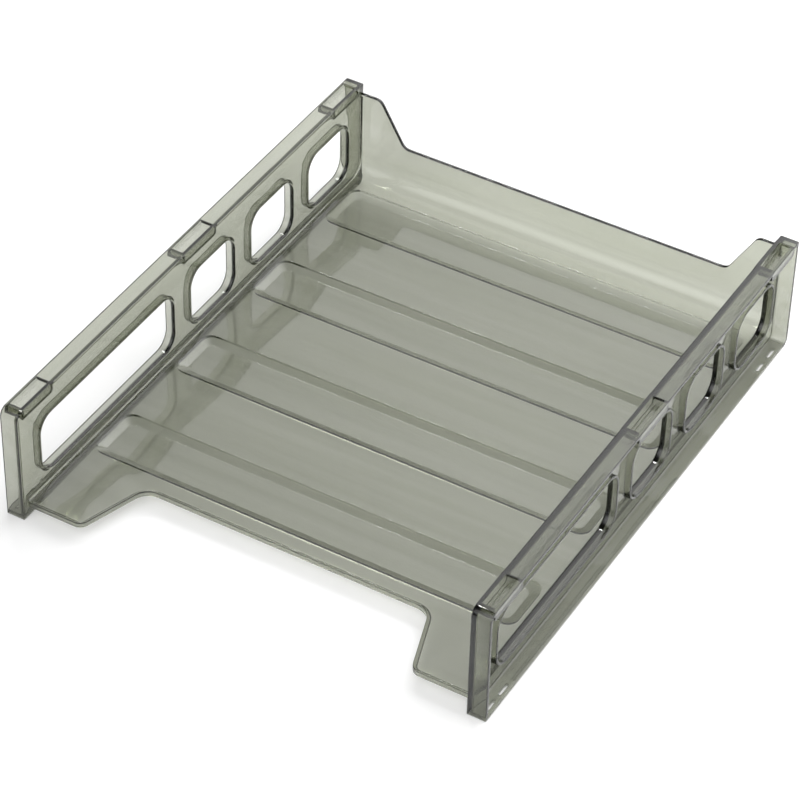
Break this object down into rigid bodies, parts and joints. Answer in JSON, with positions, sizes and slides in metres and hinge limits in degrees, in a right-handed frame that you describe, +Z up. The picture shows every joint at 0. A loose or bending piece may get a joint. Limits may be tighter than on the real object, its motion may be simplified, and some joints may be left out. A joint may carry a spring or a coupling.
{
  "type": "letter tray",
  "caption": "Stackable front-loading letter tray in see-through smoke plastic: channelled floor with a finger recess, windowed side frames with stacking sockets, low stepped back wall.",
  "frame": {"origin": "middle of the tray's footprint, at the level of the table it stands on", "axes": "+Z up, the open front faces -Y, +X is the tray's right side seen from the front"},
  "size_m": [0.254, 0.302, 0.0636],
  "materials": {
    "smoke_plastic": "polished, see-through, faint grey-green tint"
  },
  "bodies": {
    "root": {"floor_panel": "smoke_plastic", "front_lip": "smoke_plastic", "back_wall": "smoke_plastic", "left_side_web": "smoke_plastic", "left_top_rail": "smoke_plastic", "left_bottom_rail": "smoke_plastic", "left_front_post": "smoke_plastic", "left_rear_post": "smoke_plastic", "left_window_frame_1": "smoke_plastic", "left_window_frame_2": "smoke_plastic", "left_window_frame_3": "smoke_plastic", "left_window_frame_4": "smoke_plastic", "left_front_socket": "smoke_plastic", "left_middle_socket": "smoke_plastic", "left_rear_socket": "smoke_plastic", "right_side_web": "smoke_plastic", "right_top_rail": "smoke_plastic", "right_bottom_rail": "smoke_plastic", "right_front_post": "smoke_plastic", "right_rear_post": "smoke_plastic", "right_window_frame_1": "smoke_plastic", "right_window_frame_2": "smoke_plastic", "right_window_frame_3": "smoke_plastic", "right_window_frame_4": "smoke_plastic", "right_front_socket": "smoke_plastic", "right_middle_socket": "smoke_plastic", "right_rear_socket": "smoke_plastic"}
  },
  "joints": []
}
